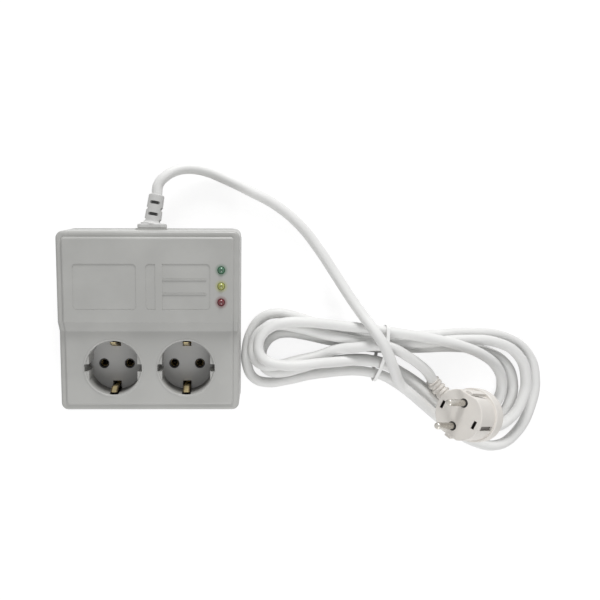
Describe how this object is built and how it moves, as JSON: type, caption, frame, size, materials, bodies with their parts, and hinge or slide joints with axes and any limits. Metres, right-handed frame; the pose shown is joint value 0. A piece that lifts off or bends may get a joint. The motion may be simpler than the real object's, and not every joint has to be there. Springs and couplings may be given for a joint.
{
  "type": "voltage protector extension lead",
  "caption": "Square two-outlet mains voltage protector with signal lamps and an internal relay board, on a tied extension cord with a right-angle earthed plug.",
  "frame": {"origin": "bottom centre of the case, on the rear face that lies on the table", "axes": "+Z out of the sockets, away from the rear face; +Y towards the cord inlet; +X to the right, seen from the front with the inlet up"},
  "size_m": [0.3715, 0.2225, 0.0692],
  "materials": {
    "housing": "fine satin grain",
    "carrier": "satin",
    "screw_steel": "zinc plated",
    "contact_brass": "satin",
    "lamp_green": "tinted, translucent",
    "lamp_yellow": "tinted, translucent",
    "lamp_red": "tinted, translucent",
    "board": "lacquered laminate",
    "relay_case": "gloss",
    "core_steel": "varnished laminations",
    "coil_tape": "satin tape",
    "capacitor_sleeve": "gloss sleeve",
    "film_case": "gloss",
    "varistor_coat": "lacquer coat",
    "chip_case": "matte",
    "resistor_coat": "lacquer coat",
    "terminal_case": "satin",
    "wire_brown": "satin insulation",
    "wire_blue": "satin insulation",
    "wire_green_yellow": "satin insulation",
    "clamp": "satin",
    "boot": "soft satin",
    "cord": "soft satin sheath",
    "tie": "satin strap",
    "plug": "satin",
    "pin_nickel": "nickel plated"
  },
  "bodies": {
    "case": {"front_housing": "housing", "rear_cover": "housing", "housing_screws": "screw_steel", "socket_well_left": "housing", "socket_well_right": "housing", "contact_carrier_left": "carrier", "contact_carrier_right": "carrier", "carrier_screws": "screw_steel", "line_busbar": "contact_brass", "neutral_busbar": "contact_brass", "earth_bridge": "contact_brass", "lamp_green": "lamp_green", "lamp_yellow": "lamp_yellow", "lamp_red": "lamp_red", "circuit_board": "board", "board_screws": "screw_steel", "relay": "relay_case", "transformer_core": "core_steel", "transformer_coil": "coil_tape", "electrolytic_capacitors": "capacitor_sleeve", "film_capacitor": "film_case", "varistor": "varistor_coat", "control_chip": "chip_case", "resistors": "resistor_coat", "terminal_block": "terminal_case", "line_wires": "wire_brown", "neutral_wires": "wire_blue", "earth_wire": "wire_green_yellow", "cable_clamp": "clamp", "clamp_screws": "screw_steel", "cord_inner_end": "cord", "cable_boot": "boot", "cord_lead": "cord", "cord_hank": "cord", "cord_tail": "cord", "cord_tie": "tie", "plug_body": "plug", "plug_boot": "plug", "plug_pins": "pin_nickel", "plug_earth_contacts": "pin_nickel"},
    "earth_clip_left_top": {"earth_clip_left_top": "contact_brass"},
    "earth_clip_left_bottom": {"earth_clip_left_bottom": "contact_brass"},
    "earth_clip_right_top": {"earth_clip_right_top": "contact_brass"},
    "earth_clip_right_bottom": {"earth_clip_right_bottom": "contact_brass"}
  },
  "joints": [
    {"name": "earth_clip_left_top_spring", "type": "hinge", "parent": "case", "child": "earth_clip_left_top", "pos_m": [-0.026, -0.017, 0.0147], "axis": [-1, 0, 0], "range_deg": [0, 5], "stiffness_Nm_per_rad": 2},
    {"name": "earth_clip_left_bottom_spring", "type": "hinge", "parent": "case", "child": "earth_clip_left_bottom", "pos_m": [-0.026, -0.049, 0.0147], "axis": [1, 0, 0], "range_deg": [0, 5], "stiffness_Nm_per_rad": 2},
    {"name": "earth_clip_right_top_spring", "type": "hinge", "parent": "case", "child": "earth_clip_right_top", "pos_m": [0.026, -0.017, 0.0147], "axis": [-1, 0, 0], "range_deg": [0, 5], "stiffness_Nm_per_rad": 2},
    {"name": "earth_clip_right_bottom_spring", "type": "hinge", "parent": "case", "child": "earth_clip_right_bottom", "pos_m": [0.026, -0.049, 0.0147], "axis": [1, 0, 0], "range_deg": [0, 5], "stiffness_Nm_per_rad": 2}
  ]
}
